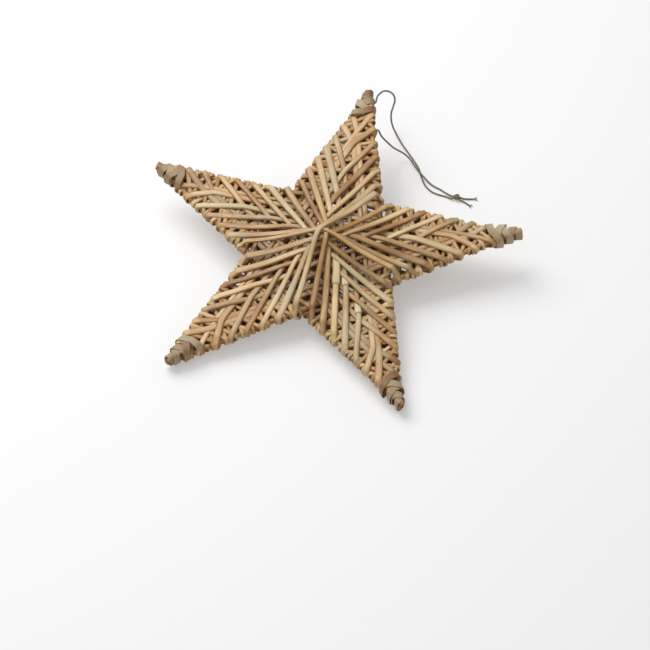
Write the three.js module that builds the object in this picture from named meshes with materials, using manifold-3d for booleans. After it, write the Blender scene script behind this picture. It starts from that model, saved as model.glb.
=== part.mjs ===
// A hanging star ornament wound from split willow. Five frame rods cross as a pentagram; each
// turn of willow loops round two arms, over the front and back over the rear; the turns are
// laid from the tips inwards, so the last ones cross on top of the pile at the centre. Flat
// straps bind the tips, and a knotted twine loop hangs from the top arm.
// Millimetres. The star is built flat, its top arm along +Y and its face along +Z, and then
// laid down as it rests: on its rear peak and the tips of its two lower arms, +Z up.
import * as THREE from "three";
import { mergeVertices } from "three/addons/utils/BufferGeometryUtils.js";
import Module from "manifold-3d";

const wasm = await Module();
wasm.setup();

// Driving dimensions
const ARMS = 5;
const TIP_RADIUS = 150; // centre to where two frame rods cross at a tip
const ROD_D = 4.5; // frame rod
const ROD_STUB = 5; // rod end past the crossing
const TURNS = 6; // turns of willow round each pair of arms
const WILLOW_W = 4.6; // split willow, half round
const WILLOW_T = 0.9; // thickness of a strip
const LAY_GAP = 0.72; // free space between pieces that lie on each other
const FIRST_EDGE = 54; // along an arm: where the innermost turn folds round the edge
const FIRST_RIDGE = 6; // along an arm: where the innermost turn crosses its ridge
const LAST_LAG = 15; // how far the outermost turn's crossing lags behind its fold
const RIDGE_FAN = 1.6; // over 1 draws the crossings in towards the centre, as a fan
const PEAK_OFFSET = 3; // how far the innermost turn passes from the centre
const FIRST_PAIR = 1; // pair of arms that each round starts with; it decides where the peaks stand
const STRAP_W = 8; // flat strap of the tip bindings
const STRAP_T = 1.1;
const STRAP_TILT = 20; // degrees that each turn of strap leans
const STRAP_COUNT = 3; // turns of strap at each tip
const BINDING_FIRST = 18; // from a tip back to its first turn of strap
const BINDING_LAST = 2; // from a tip back to its last turn of strap
const BINDING_CLEAR = 16; // from the outermost fold to the first turn of strap
const STRAP_EASE = 2.2; // middle of the strap's thickness to the rods
const STRAP_SIDES = 8;
const STRAP_SQUARE = 0.45; // 1 makes the turn of strap an ellipse, less squares it
const TWINE_D = 1.5;
const TWINE_SIDES = 8;
const TWINE_STEP = 3.8; // length of each straight piece of the twine's tube
const KNOT_D = 5.5;
const YAW = -14; // degrees that the resting star is turned about +Z

// Values that follow from them
const STEP_ANGLE = (2 * Math.PI) / ARMS;
const HALF_TIP = Math.PI / 2 - STEP_ANGLE; // half of the angle between two edges at a tip
const LINE_DISTANCE = TIP_RADIUS * Math.cos(STEP_ANGLE); // centre to a frame rod's line
const ROD_WAVE = ROD_D / 2 + LAY_GAP / 2; // a rod's rise and dip where it crosses the others
const LAST_EDGE = TIP_RADIUS - BINDING_FIRST - BINDING_CLEAR; // along an arm: the outermost fold
const LAST_RIDGE = LAST_EDGE - LAST_LAG; // along an arm: where the outermost turn crosses its ridge
const INNER_CROSSING = LINE_DISTANCE * Math.tan(STEP_ANGLE / 2); // along a rod, from its middle
const OUTER_CROSSING = TIP_RADIUS * Math.sin(STEP_ANGLE);
const FOLD_RADIUS = ROD_D / 2 + WILLOW_T / 2 + LAY_GAP;
const SAMPLE = 1.5; // step at which a turn feels for what lies under it
const FOLD_EASE = 1.4; // extra reach of a fold past the rod
const FLATNESS = 0.7; // a bend smaller than this is left out
const SAG = 0.004; // how far a turn may sag between supports: this times half the span squared

const colours = { willow: 0xc9a877, rod: 0xb8935f, strap: 0xcdb88c, twine: 0x77705c };
const armAngle = (arm) => Math.PI / 2 + arm * STEP_ANGLE;
const lerp = THREE.MathUtils.lerp;
const share = (turn, first, last) => lerp(first, last, TURNS > 1 ? turn / (TURNS - 1) : 0);

// A rod's height over the star's middle plane: it weaves under, over, under and over.
function rodHeight(along) {
  const stations = [-OUTER_CROSSING, -INNER_CROSSING, INNER_CROSSING, OUTER_CROSSING];
  const y = THREE.MathUtils.clamp(along, stations[0], stations[3]);
  const part = stations.findIndex((s, i) => i < 3 && y <= stations[i + 1]);
  const t = (y - stations[part]) / (stations[part + 1] - stations[part]);
  const sign = part % 2 ? 1 : -1;
  return sign * ROD_WAVE * Math.cos(Math.PI * t);
}

// A point given along and across the line that joins two tips, in the star's own plane. The
// pair is named by its first arm; the line runs from that arm to the next but one.
function pairPoint(pair, across, along) {
  const bisector = armAngle(pair + 1);
  return new THREE.Vector2(across, along).rotateAround(new THREE.Vector2(), bisector);
}

// Along an arm: where a turn crosses the ridge.
function ridgeCrossing(turn) {
  return lerp(FIRST_RIDGE, LAST_RIDGE, share(turn, 0, 1) ** RIDGE_FAN);
}

// The plan of one turn in its pair's own axes: fold, ridge, middle, ridge and fold.
function turnPlan(turn) {
  const edge = share(turn, FIRST_EDGE, LAST_EDGE);
  const ridge = ridgeCrossing(turn);
  const half = (TIP_RADIUS - edge) * Math.tan(HALF_TIP);
  const fold = new THREE.Vector2(edge, half).rotateAround(new THREE.Vector2(), STEP_ANGLE);
  const crossing = new THREE.Vector2(ridge, 0).rotateAround(new THREE.Vector2(), STEP_ANGLE);
  const middle = Math.max(PEAK_OFFSET, crossing.x);
  const mirrored = (v) => new THREE.Vector2(v.x, -v.y);
  return [mirrored(fold), mirrored(crossing), new THREE.Vector2(middle, 0), crossing, fold];
}

// Where a fold sits along the rod that it goes round, which is another pair's line.
function foldRodHeight(turn, atEnd) {
  const edge = share(turn, FIRST_EDGE, LAST_EDGE);
  const alongRod = OUTER_CROSSING - (TIP_RADIUS - edge) / Math.cos(HALF_TIP);
  return rodHeight(atEnd ? -alongRod : alongRod);
}

// Sine of the angle at which a turn meets the rod that it folds round.
function foldSlant(turn) {
  const edge = share(turn, FIRST_EDGE, LAST_EDGE);
  const half = (TIP_RADIUS - edge) * Math.tan(HALF_TIP);
  const along = edge - ridgeCrossing(turn);
  return (along * Math.sin(HALF_TIP) + half * Math.cos(HALF_TIP)) / Math.hypot(along, half);
}

// The line that a springy strip takes over heights felt at even steps: it touches the high
// places, and between them it sags no more than its stiffness lets it.
function springyLine(heights, step) {
  const sag = (i, j) => ((i - j) * step) ** 2 * SAG;
  const over = heights.map((_, i) => Math.max(...heights.map((h, j) => h - sag(i, j))));
  return heights.map((_, i) => Math.min(...over.map((h, j) => h + sag(i, j))));
}

// The height of a laid piece's upper surface over a point of the plan, or -Infinity beside it.
function surfaceHeight(x, y, { line, halfWidth, rise }) {
  let height = -Infinity;
  for (let i = 1; i < line.length; i++) {
    const [a, b] = [line[i - 1], line[i]];
    const [dx, dy] = [b.x - a.x, b.y - a.y];
    const t = ((x - a.x) * dx + (y - a.y) * dy) / (dx * dx + dy * dy);
    const u = THREE.MathUtils.clamp(t, 0, 1);
    const away = Math.hypot(a.x + u * dx - x, a.y + u * dy - y);
    if (away < halfWidth) height = Math.max(height, lerp(a.z, b.z, u) + rise(away));
  }
  return height;
}

// The height at which a turn's middle line passes a point, to lie on what is laid there.
function restingHeight(point, across, laid) {
  let height = FOLD_RADIUS;
  for (let i = -2; i <= 2; i++) {
    const x = point.x + (across.x * i * WILLOW_W) / 4;
    const y = point.y + (across.y * i * WILLOW_W) / 4;
    for (const piece of laid) {
      height = Math.max(height, surfaceHeight(x, y, piece) + WILLOW_T / 2 + LAY_GAP);
    }
  }
  return height;
}

// One face of a turn as 3-D points: laid over the rods and the turns that are there already.
function layTurn(pair, turn, laid, side) {
  const plan = turnPlan(turn).map((p) => pairPoint(pair, p.x, p.y));
  const stops = [0];
  plan.slice(1).forEach((p, i) => stops.push(stops[i] + p.distanceTo(plan[i])));
  const length = stops[stops.length - 1];
  const at = (distance) => {
    const i = Math.min(plan.length - 1, Math.max(1, stops.findIndex((s) => s >= distance)));
    return plan[i - 1].clone().lerp(plan[i], (distance - stops[i - 1]) / (stops[i] - stops[i - 1]));
  };
  const samples = Math.ceil(length / SAMPLE);
  const step = length / samples;
  const places = Array.from({ length: samples + 1 }, (_, i) => at(Math.min(i * step, length)));
  const felt = places.map((point, i) => {
    if (i === 0 || i === samples) return side * foldRodHeight(turn, i > 0) + FOLD_RADIUS;
    const along = places[i + 1].clone().sub(places[i - 1]).normalize();
    return restingHeight(point, new THREE.Vector2(-along.y, along.x), laid);
  });
  const heights = springyLine(felt, step);
  const points = places.map((p, i) => new THREE.Vector3(p.x, p.y, heights[i]));
  return thinned(points);
}

// Leaves out points that the straight line between kept ones passes close to.
function thinned(points) {
  if (points.length < 3) return points;
  const ends = new THREE.Line3(points[0], points[points.length - 1]);
  const away = points.map((p) => ends.closestPointToPoint(p, true, new THREE.Vector3()).distanceTo(p));
  const most = away.indexOf(Math.max(...away));
  if (away[most] < FLATNESS) return [points[0], points[points.length - 1]];
  return [...thinned(points.slice(0, most + 1)), ...thinned(points.slice(most)).slice(1)];
}

// A closed ring: a section carried round a closed line. Each stop has its point and the level
// direction across the ring there. The section's points are [across, outwards].
function ringAlong(stops, section) {
  const n = stops.length;
  const m = section.length;
  const grid = new THREE.TorusGeometry(2, 1, m, n);
  grid.deleteAttribute("normal");
  grid.deleteAttribute("uv");
  const position = grid.getAttribute("position");
  const direction = (i) => stops[(i + 1) % n].point.clone().sub(stops[(i + n) % n].point).normalize();
  stops.forEach((stop, i) => {
    const before = direction(i - 1);
    const after = direction(i);
    const tangent = before.clone().add(after).normalize();
    const stretch = 1 / Math.max(0.5, tangent.dot(after));
    const across = stop.across.clone().addScaledVector(tangent, -stop.across.dot(tangent)).normalize();
    const outwards = across.clone().cross(tangent).normalize();
    const turning = after.clone().sub(before);
    const level = Math.abs(turning.dot(across)) > Math.abs(turning.dot(outwards));
    section.forEach(([w, t], k) => {
      const p = stop.point.clone();
      p.addScaledVector(across, w * (level ? stretch : 1));
      p.addScaledVector(outwards, t * (level ? 1 : stretch));
      for (const ring of i ? [i] : [0, n]) {
        for (const side of k ? [k] : [0, m]) position.setXYZ(side * (n + 1) + ring, p.x, p.y, p.z);
      }
    });
  });
  return mergeVertices(grid, 1e-4);
}

// Split rod: flat side inwards, narrower on its outer face.
const willowSection = [
  [-WILLOW_W / 2, -WILLOW_T / 2],
  [WILLOW_W / 2, -WILLOW_T / 2],
  [WILLOW_W * 0.3, WILLOW_T / 2],
  [-WILLOW_W * 0.3, WILLOW_T / 2],
];
const strapSection = [
  [-STRAP_W / 2, -STRAP_T / 2],
  [STRAP_W / 2, -STRAP_T / 2],
  [STRAP_W / 2, STRAP_T / 2],
  [-STRAP_W / 2, STRAP_T / 2],
];

// The fold round the rod at the end of a turn, from one face of the star to the other.
function foldPoints(turn, from, to, outward, rodZ) {
  const points = [];
  const centre = from.clone().lerp(to, 0.5);
  const half = from.distanceTo(to) / 2;
  const reach = FOLD_RADIUS / foldSlant(turn) + FOLD_EASE;
  for (const [out, up] of [[0.78, 0.8], [1, 0], [0.78, -0.8]]) {
    const p = centre.clone().addScaledVector(outward, reach * out);
    p.z = rodZ + half * up;
    points.push(p);
  }
  return points;
}

const level = (v) => new THREE.Vector3(v.x, v.y, 0);

// Stops of a closed ring through points, with the level direction across each.
function ringStops(points, foldAcross) {
  return points.map((point, i) => {
    if (foldAcross.has(i)) return { point, across: foldAcross.get(i) };
    const next = level(points[(i + 1) % points.length]).sub(level(point));
    const last = level(point).sub(level(points[(i - 1 + points.length) % points.length]));
    const along = next.normalize().add(last.normalize()).normalize();
    return { point, across: new THREE.Vector3(along.y, -along.x, 0) };
  });
}

const pieces = [];
function addPiece(name, geometry, colour, roughness) {
  const material = new THREE.MeshStandardMaterial({ color: colour, roughness, metalness: 0 });
  const mesh = new THREE.Mesh(geometry, material);
  mesh.name = name;
  pieces.push(mesh);
  return mesh;
}

// Frame rods
function frameRod(pair) {
  const length = 2 * (OUTER_CROSSING + ROD_STUB);
  const rod = new THREE.CylinderGeometry(ROD_D / 2, ROD_D / 2, length, 6, 12);
  const position = rod.getAttribute("position");
  for (let i = 0; i < position.count; i++) {
    const along = position.getY(i);
    const plan = pairPoint(pair, LINE_DISTANCE + position.getX(i), along);
    position.setXYZ(i, plan.x, plan.y, position.getZ(i) + rodHeight(along));
  }
  return rod;
}

// Turns of willow: both faces are laid from the tips inwards.
const faces = [[], []];
for (let pair = 0; pair < ARMS; pair++) {
  const line = [];
  for (let i = 0; i <= 24; i++) {
    const along = lerp(-OUTER_CROSSING - ROD_STUB, OUTER_CROSSING + ROD_STUB, i / 24);
    const plan = pairPoint(pair, LINE_DISTANCE, along);
    line.push(new THREE.Vector3(plan.x, plan.y, rodHeight(along)));
  }
  const rise = (away) => Math.sqrt((ROD_D / 2) ** 2 - away ** 2);
  faces.forEach((face, back) => {
    const seen = back ? line.map((p) => new THREE.Vector3(p.x, p.y, -p.z)) : line;
    face.push({ line: seen, halfWidth: ROD_D / 2, rise });
  });
  addPiece(`frame_rod_${pair + 1}`, frameRod(pair), colours.rod, 0.8);
}

// Height of a turn's outer face over its middle line, at a distance across it.
function willowRise(away) {
  const shoulder = THREE.MathUtils.clamp((away / WILLOW_W - 0.3) / 0.2, 0, 1);
  return WILLOW_T * (0.5 - shoulder);
}

function willowTurn(pair, turn) {
  const [front, back] = [1, -1].map((side, i) => {
    const line = layTurn(pair, turn, faces[i], side);
    faces[i].push({ line, halfWidth: WILLOW_W / 2, rise: willowRise });
    return line;
  });
  const rear = back.map((p) => new THREE.Vector3(p.x, p.y, -p.z)).reverse();
  const points = [...front];
  const foldAcross = new Map();
  const ends = [[front, rear[0], true], [[...front].reverse(), rear[rear.length - 1], false]];
  ends.forEach(([line, far, atEnd], e) => {
    const tip = line[line.length - 1];
    const outward = level(tip).sub(level(line[line.length - 2])).normalize();
    const rodZ = foldRodHeight(turn, atEnd);
    const fold = foldPoints(turn, tip, far, outward, rodZ);
    const across = new THREE.Vector3(outward.y, -outward.x, 0).multiplyScalar(e ? -1 : 1);
    if (e) fold.reverse();
    const start = points.length;
    points.push(...fold);
    fold.forEach((p, i) => foldAcross.set(start + i, across));
    if (!e) points.push(...rear);
  });
  const stops = ringStops(points, foldAcross);
  // On the rear the ring runs back, and its across direction stays on the same side.
  stops.forEach((stop, i) => {
    if (!foldAcross.has(i) && i >= front.length) stop.across.negate();
  });
  return ringAlong(stops, willowSection);
}

for (let turn = TURNS - 1; turn >= 0; turn--) {
  for (let k = 0; k < ARMS; k++) {
    const pair = (FIRST_PAIR + k) % ARMS;
    addPiece(`willow_turn_${turn + 1}_${pair + 1}`, willowTurn(pair, turn), colours.willow, 0.75);
  }
}

// Tip bindings: turns of flat strap round both rods, fused where they cross.
function strapTurn(arm, station, tilt) {
  const lean = Math.tan(THREE.MathUtils.degToRad(tilt));
  const stops = [];
  for (let i = 0; i < STRAP_SIDES; i++) {
    const a = ((i + 0.5) * 2 * Math.PI) / STRAP_SIDES;
    const squared = (v) => Math.sign(v) * Math.abs(v) ** STRAP_SQUARE;
    const taper = Math.tan(HALF_TIP);
    const atStation = (TIP_RADIUS - station) * taper + ROD_D / 2 / Math.cos(HALF_TIP) + STRAP_EASE;
    const halfWidth = atStation / (1 + Math.sign(Math.cos(a)) * lean * taper);
    const halfHeight = ROD_WAVE + ROD_D / 2 + STRAP_EASE;
    const across = halfWidth * squared(Math.cos(a));
    const radial = station + lean * across;
    const plan = new THREE.Vector2(radial, across).rotateAround(new THREE.Vector2(), armAngle(arm));
    const level = new THREE.Vector2(1, 0).rotateAround(new THREE.Vector2(), armAngle(arm));
    stops.push({
      point: new THREE.Vector3(plan.x, plan.y, halfHeight * squared(Math.sin(a))),
      across: new THREE.Vector3(level.x, level.y, 0),
    });
  }
  return ringAlong(stops, strapSection);
}

function toSolid(geometry) {
  return new wasm.Manifold(
    new wasm.Mesh({
      numProp: 3,
      vertProperties: geometry.getAttribute("position").array,
      triVerts: new Uint32Array(geometry.index.array),
    }),
  );
}

function toGeometry(solid) {
  const mesh = solid.getMesh();
  const geometry = new THREE.BufferGeometry();
  geometry.setAttribute("position", new THREE.BufferAttribute(mesh.vertProperties, 3));
  geometry.setIndex(new THREE.BufferAttribute(mesh.triVerts, 1));
  return geometry;
}

for (let arm = 0; arm < ARMS; arm++) {
  const turns = [];
  for (let i = 0; i < STRAP_COUNT; i++) {
    const back = lerp(BINDING_FIRST, BINDING_LAST, i / Math.max(1, STRAP_COUNT - 1));
    const tilt = i % 2 ? -STRAP_TILT : STRAP_TILT;
    turns.push(toSolid(strapTurn(arm, TIP_RADIUS - back, tilt)));
  }
  const binding = turns.reduce((joined, turn) => joined.add(turn));
  addPiece(`tip_binding_${arm + 1}`, toGeometry(binding), colours.strap, 0.6);
}

// Laid down: the star is tipped back until its rear peak and its two lower tips share a level.
const corners = [];
pieces.forEach((piece) => {
  const position = piece.geometry.getAttribute("position");
  for (let i = 0; i < position.count; i++) {
    corners.push(new THREE.Vector3().fromBufferAttribute(position, i));
  }
});
const peakCorners = corners.filter((c) => Math.hypot(c.x, c.y) < TIP_RADIUS / 4);
const footCorners = corners.filter((c) => c.y < -TIP_RADIUS / 2);
const lowest = (points, lean) =>
  Math.min(...points.map((c) => c.y * Math.sin(lean) + c.z * Math.cos(lean)));
let [least, most] = [0, Math.PI / 8];
for (let i = 0; i < 40; i++) {
  const lean = (least + most) / 2;
  if (lowest(peakCorners, lean) < lowest(footCorners, lean)) least = lean;
  else most = lean;
}
const lying = new THREE.Matrix4().makeRotationX(least);
lying.premultiply(new THREE.Matrix4().makeRotationZ(THREE.MathUtils.degToRad(YAW)));
const box = new THREE.Box3().setFromPoints(corners.map((c) => c.clone().applyMatrix4(lying)));
const middle = box.getCenter(new THREE.Vector3());
lying.premultiply(new THREE.Matrix4().makeTranslation(-middle.x, -middle.y, -box.min.z));
const star = new THREE.Group();
star.applyMatrix4(lying);
pieces.forEach((piece) => star.add(piece));

// The twine loop: both legs come down from the raised top arm and run along the surface that
// the star lies on, one over the other, to the knot.
const legOne = [
  [31.7, 137, 48.7], [32.2, 140.4, 48.9], [33.7, 144.2, 48.6], [37.6, 149.9, 46.8],
  [42, 153.9, 42.6], [45.8, 156.1, 36.7], [47.2, 156.7, 30], [46.1, 156.5, 23.3],
  [44.5, 155.4, 16.6], [44.5, 152.7, 11.2], [45.9, 149, 6.9], [49.4, 142.6, 3], [53.4, 134.6, 1],
  [57.5, 126.5, 0.8], [62, 117.6, 0.8], [66.1, 108.2, 0.8], [68.2, 98.7, 0.8], [70.8, 89.7, 0.8],
  [75.4, 82.9, 0.8], [81, 79.2, 0.8], [86.5, 77.2, 0.8], [90, 75.2, 1.1], [92.3, 73.6, 1.6],
];
const legTwo = [
  [32.7, 109.3, 43.7], [33.9, 110.1, 41], [35.1, 110.5, 36.7], [38, 112, 30.4],
  [41.6, 113.9, 23.7], [45.9, 116.2, 16.2], [50.8, 118.3, 10.3], [55.1, 118.5, 6.4],
  [59.1, 115.5, 4.2], [62.1, 110.6, 3.1], [65.7, 103.8, 2.7], [69.8, 97.1, 2.7], [73.8, 92, 1.6],
  [78.3, 87.9, 0.8], [82.9, 84.7, 0.8], [86.9, 81.1, 0.8], [90, 78.5, 1.1], [92.4, 76.4, 1.6],
];
const tailOne = [
  [99, 74.8, 1.6], [101.5, 74.4, 1], [104, 74.2, 0.8], [109, 74.2, 0.8],
];
const tailTwo = [
  [98.3, 72.5, 1.6], [100.1, 71.7, 1], [102.1, 70.6, 0.8], [105.1, 67.9, 0.8],
];
const KNOT_PLACE = [95.8, 74.8, KNOT_D / 2];

function twine(name, points) {
  const path = new THREE.CatmullRomCurve3(points.map((p) => new THREE.Vector3(...p)), false, "centripetal");
  const round = Array.from({ length: TWINE_SIDES }, (_, i) => {
    const a = (i * 2 * Math.PI) / TWINE_SIDES;
    return new THREE.Vector2(Math.cos(a), Math.sin(a)).multiplyScalar(TWINE_D / 2);
  });
  const steps = Math.ceil(path.getLength() / TWINE_STEP);
  const tube = new THREE.ExtrudeGeometry(new THREE.Shape(round), { steps, extrudePath: path });
  const material = new THREE.MeshStandardMaterial({ color: colours.twine, roughness: 1 });
  const mesh = new THREE.Mesh(tube, material);
  mesh.name = name;
  return mesh;
}

const knot = new THREE.Mesh(
  new THREE.SphereGeometry(KNOT_D / 2, 10, 6),
  new THREE.MeshStandardMaterial({ color: colours.twine, roughness: 1 }),
);
knot.name = "twine_knot";
knot.position.set(...KNOT_PLACE);

const part = new THREE.Group();
part.add(star, knot);
part.add(twine("twine_leg_1", legOne), twine("twine_leg_2", legTwo));
part.add(twine("twine_tail_1", tailOne), twine("twine_tail_2", tailTwo));
export default part;
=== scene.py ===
"""A star ornament wound from split willow round a frame of rods, lying on a pale floor.

The willow is laid here as a maker lays it: every turn loops round two arms and rests on the
rods and on the turns that are there already, from the tips inwards. Lengths are in metres, but
the points of the twine are in millimetres.
"""

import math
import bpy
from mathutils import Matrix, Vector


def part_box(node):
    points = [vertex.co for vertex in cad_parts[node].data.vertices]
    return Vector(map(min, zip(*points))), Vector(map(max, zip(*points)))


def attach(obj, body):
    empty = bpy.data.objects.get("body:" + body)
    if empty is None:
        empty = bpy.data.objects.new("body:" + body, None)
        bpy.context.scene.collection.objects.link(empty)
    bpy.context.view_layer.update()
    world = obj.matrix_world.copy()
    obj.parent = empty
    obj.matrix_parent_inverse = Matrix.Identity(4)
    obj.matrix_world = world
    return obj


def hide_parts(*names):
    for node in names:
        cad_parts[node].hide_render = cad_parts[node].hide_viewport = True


bl_info = {
    "name": "Wound Willow Star",
    "version": (1, 0, 0),
    "blender": (4, 5, 0),
    "location": "3D View > Sidebar > Star",
    "description": "Dresses a hanging star wound from split willow, with its twine loop",
    "category": "Object",
}

import bmesh
import bpy
import numpy as np
from mathutils import Matrix, Vector

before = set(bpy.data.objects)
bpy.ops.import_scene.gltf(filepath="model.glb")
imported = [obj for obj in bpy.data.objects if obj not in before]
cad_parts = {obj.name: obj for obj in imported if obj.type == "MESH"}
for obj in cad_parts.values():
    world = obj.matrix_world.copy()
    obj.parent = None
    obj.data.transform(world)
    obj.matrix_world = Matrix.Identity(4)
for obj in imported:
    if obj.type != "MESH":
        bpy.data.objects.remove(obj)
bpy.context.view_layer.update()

ARMS = 5
STEP_ANGLE = 2 * math.pi / ARMS
HALF_TIP = math.pi / 2 - STEP_ANGLE  # half of the angle between two edges at a tip
ROOT = "root"


# Sizes and colours


def length(name, default, text):
    """A property for a length in metres."""
    return bpy.props.FloatProperty(
        name=name, default=default, description=text, subtype="DISTANCE", unit="LENGTH"
    )


def colour(name, default, text):
    """A property for a colour, linear."""
    return bpy.props.FloatVectorProperty(
        name=name, default=default, description=text, subtype="COLOR", size=3, min=0, max=1
    )


class StarSizes(bpy.types.PropertyGroup):
    tip_radius: length("Tip radius", 0.150, "Centre to where two rods cross at a tip")
    rod: length("Rod", 0.0045, "Diameter of a frame rod")
    stub: length("Rod end", 0.005, "Rod past the crossing at a tip")
    turns: bpy.props.IntProperty(
        name="Turns", default=6, min=2, max=9, description="Turns of willow round each pair of arms"
    )
    width: length("Willow width", 0.0046, "Width of a split strip as it is laid")
    thickness: length("Willow thickness", 0.0009, "Thickness of a strip as it is laid")
    gap: length("Lay gap", 0.00072, "Free space between strips that lie on each other")
    first_edge: length("First fold", 0.054, "Centre to the innermost fold, along an arm")
    last_edge: length("Last fold", 0.116, "Centre to the outermost fold, along an arm")
    first_ridge: length("First crossing", 0.006, "Centre to the innermost crossing on a ridge")
    last_ridge: length("Last crossing", 0.101, "Centre to the outermost crossing on a ridge")
    ridge_fan: bpy.props.FloatProperty(
        name="Ridge fan", default=1.6, min=1, max=3,
        description="Over 1 draws the crossings in towards the centre",
    )
    peak_offset: length("Peak offset", 0.003, "How far the innermost turn passes from the centre")
    stretch: bpy.props.FloatProperty(
        name="Springiness", default=4.0, description="Sag of a strip over half a span, squared"
    )
    strap_width: length("Strap width", 0.0056, "Width of the flat strap at the tips")
    strap_thickness: length("Strap thickness", 0.0011, "Thickness of the flat strap")
    twine: length("Twine", 0.0015, "Diameter of the twine")
    knot: length("Knot", 0.0055, "Diameter of the twine's knot")


class StarColours(bpy.types.PropertyGroup):
    willow_light: colour("Willow, light", (0.75, 0.555, 0.30), "Pale peeled willow")
    willow_middle: colour("Willow, middle", (0.45, 0.235, 0.072), "Honey tone of most strips")
    # The dark end of the willow's ramp: tan streaks, and the painted shade at the edges and inner faces
    # of strips
    willow_streaks_and_shade: colour("Willow, dark", (0.22, 0.085, 0.022), "Tanned streaks in the willow")
    willow_green: colour("Willow, green", (0.505, 0.46, 0.28), "Patches left green-grey")
    twine_light: colour("Twine, light", (0.33, 0.28, 0.20), "Sunlit fibres of the twine")
    twine_dark: colour("Twine, dark", (0.09, 0.075, 0.055), "Shaded fibres of the twine")
    knot_light: colour("Knot, light", (0.30, 0.285, 0.175), "Sunlit fibres of the knot")
    knot_dark: colour("Knot, dark", (0.08, 0.078, 0.045), "Shaded fibres of the knot")
    floor: colour("Floor", (0.60, 0.60, 0.603), "The floor under the star")


def sizes():
    return bpy.context.scene.star_sizes


def colours():
    return bpy.context.scene.star_colours


# Layout of the winding, in the star's own plane


def turned(across, along, angle):
    """The point at across and along, turned about the centre."""
    c, s = math.cos(angle), math.sin(angle)
    return np.array([across * c - along * s, across * s + along * c])


def arm_angle(arm):
    """Heading of an arm. They are counted anticlockwise from the top one."""
    return math.pi / 2 + arm * STEP_ANGLE


def pair_point(pair, across, along):
    """A point given across and along the line from an arm's tip to the next but one."""
    return turned(across, along, arm_angle(pair + 1))


def line_distance():
    """From the centre to the middle of a rod."""
    return sizes().tip_radius * math.cos(STEP_ANGLE)


def outer_crossing():
    """From the middle of a rod to where it crosses another at a tip."""
    return sizes().tip_radius * math.sin(STEP_ANGLE)


def rod_height(along):
    """A rod weaves under, over, under and over the four rods that it crosses."""
    inner = line_distance() * math.tan(STEP_ANGLE / 2)
    outer = outer_crossing()
    stations = (-outer, -inner, inner, outer)
    y = min(max(along, -outer), outer)
    part = next(i for i in range(3) if y <= stations[i + 1])
    t = (y - stations[part]) / (stations[part + 1] - stations[part])
    wave = sizes().rod / 2 + sizes().gap / 2
    return (1 if part % 2 else -1) * wave * math.cos(math.pi * t)


def fold_radius():
    """From the middle of a rod to the middle of a strip that rests on it."""
    return sizes().rod / 2 + sizes().thickness / 2 + sizes().gap


def share(turn, first, last):
    """A turn's own value, when the values run evenly from the first turn to the last."""
    return first + (last - first) * turn / (sizes().turns - 1)


def ridge_crossing(turn):
    """Along an arm, where a turn crosses its ridge; past the last turn it keeps pace with the folds."""
    s = sizes()
    t = share(turn, 0, 1)
    fanned = s.first_ridge + (s.last_ridge - s.first_ridge) * min(t, 1) ** s.ridge_fan
    return fanned + max(0, t - 1) * (s.last_edge - s.first_edge)


def turn_plan(turn):
    """Fold, ridge, middle, ridge and fold of a turn, in its pair's own axes."""
    s = sizes()
    edge = share(turn, s.first_edge, s.last_edge)
    ridge = ridge_crossing(turn)
    fold = turned(edge, (s.tip_radius - edge) * math.tan(HALF_TIP), STEP_ANGLE)
    crossing = turned(ridge, 0, STEP_ANGLE)
    middle = max(s.peak_offset, crossing[0])
    mirror = np.array([1, -1])
    return [fold * mirror, crossing * mirror, np.array([middle, 0]), crossing, fold]


def fold_rod_height(turn, at_end):
    """Height of the rod where a turn folds round it."""
    s = sizes()
    edge = share(turn, s.first_edge, s.last_edge)
    along = outer_crossing() - (s.tip_radius - edge) / math.cos(HALF_TIP)
    return rod_height(-along if at_end else along)


# Laying the willow


EXTRA_TURNS = 1  # further turns close to the tips
FIRST_PAIR = 1  # the pair of arms that each round starts with
SAMPLE = 0.0015  # step at which a turn feels for what lies under it
FLATNESS = 0.0007  # bends smaller than this don't lift the turns laid later
FEELERS = (-0.5, -0.25, 0, 0.25, 0.5)  # where it feels across its width
CROWN_FLAT = 0.3  # half of the flat top of a strip, as a share of its width
CROWN_FALL = 0.2  # the sloping part beside it
ROD_SAMPLES = 25


class Laid:
    """A piece that later turns can rest on: its middle line, half width and top profile."""

    def __init__(self, line, half_width, rise):
        self.a, self.b = line[:-1], line[1:]
        self.half_width = half_width
        self.rise = rise

    def surface(self, points):
        """Height of the upper surface over points of the plan, or -inf beside the piece."""
        d = self.b[:, :2] - self.a[:, :2]
        rel = points[:, None, :] - self.a[None, :, :2]
        t = np.clip((rel * d).sum(2) / (d * d).sum(1), 0, 1)
        away = np.linalg.norm(rel - t[..., None] * d, axis=2)
        middle = self.a[:, 2] + (self.b[:, 2] - self.a[:, 2]) * t
        return np.where(away < self.half_width, middle + self.rise(away), -np.inf).max(1)


def strip_rise(away):
    """Top of a strip over its middle line, at a distance to the side."""
    s = sizes()
    return s.thickness * (0.5 - np.clip((away / s.width - CROWN_FLAT) / CROWN_FALL, 0, 1))


def rod_rise(away):
    """Top of a rod over its middle line, at a distance to the side."""
    return np.sqrt(np.maximum((sizes().rod / 2) ** 2 - away**2, 0))


def springy_line(felt, step):
    """A springy strip touches the high places and sags a little between them."""
    i = np.arange(len(felt))
    sag = ((i[:, None] - i[None, :]) * step) ** 2 * sizes().stretch
    over = (felt[None, :] - sag).max(1)
    return (over[None, :] + sag).min(1)


def thinned(points):
    """Leaves out points that the straight line between kept ones passes close to."""
    if len(points) < 3:
        return points
    d = points[-1] - points[0]
    t = np.clip(((points - points[0]) @ d) / (d @ d), 0, 1)
    away = np.linalg.norm(points - points[0] - t[:, None] * d, axis=1)
    most = int(away.argmax())
    if away[most] < FLATNESS:
        return points[[0, -1]]
    return np.vstack([thinned(points[: most + 1]), thinned(points[most:])[1:]])


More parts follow.
